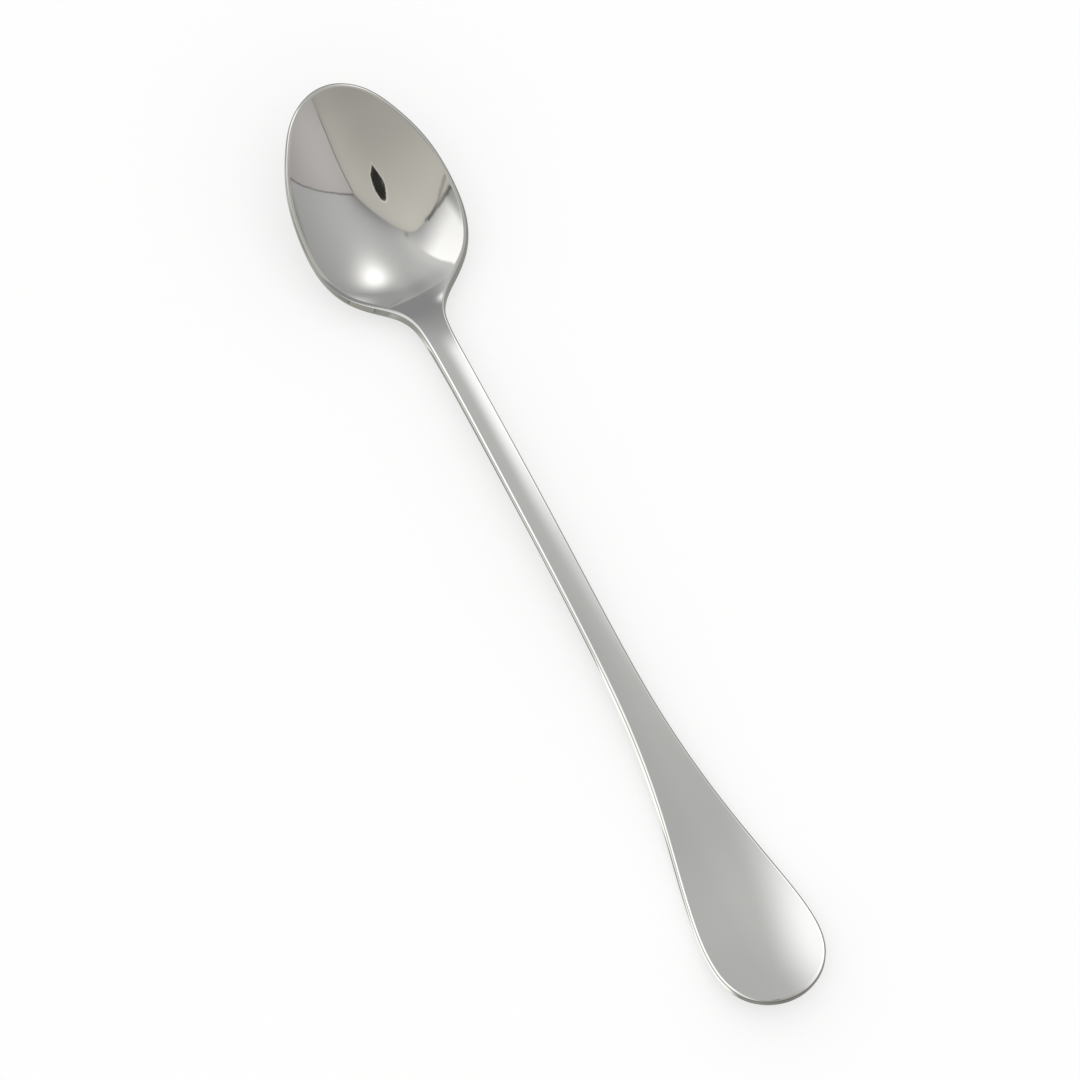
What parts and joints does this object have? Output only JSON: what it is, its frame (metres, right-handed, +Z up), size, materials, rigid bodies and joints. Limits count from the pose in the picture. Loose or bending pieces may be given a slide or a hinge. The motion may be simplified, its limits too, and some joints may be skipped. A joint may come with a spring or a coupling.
{
  "type": "iced tea spoon",
  "caption": "Long-handled iced tea spoon of polished stainless steel, with a deep oval bowl, a slim stem and a broad round-ended handle.",
  "frame": {"origin": "middle of the spoon's box, on the table that it rests on", "axes": "+X along the spoon from the tip of the bowl to the end of the handle, +Y to the side, +Z up out of the hollow of the bowl"},
  "size_m": [0.1908, 0.0318, 0.0163],
  "materials": {
    "steel": "polished"
  },
  "bodies": {
    "root": {"bowl": "steel", "stem": "steel", "handle": "steel"}
  },
  "joints": []
}
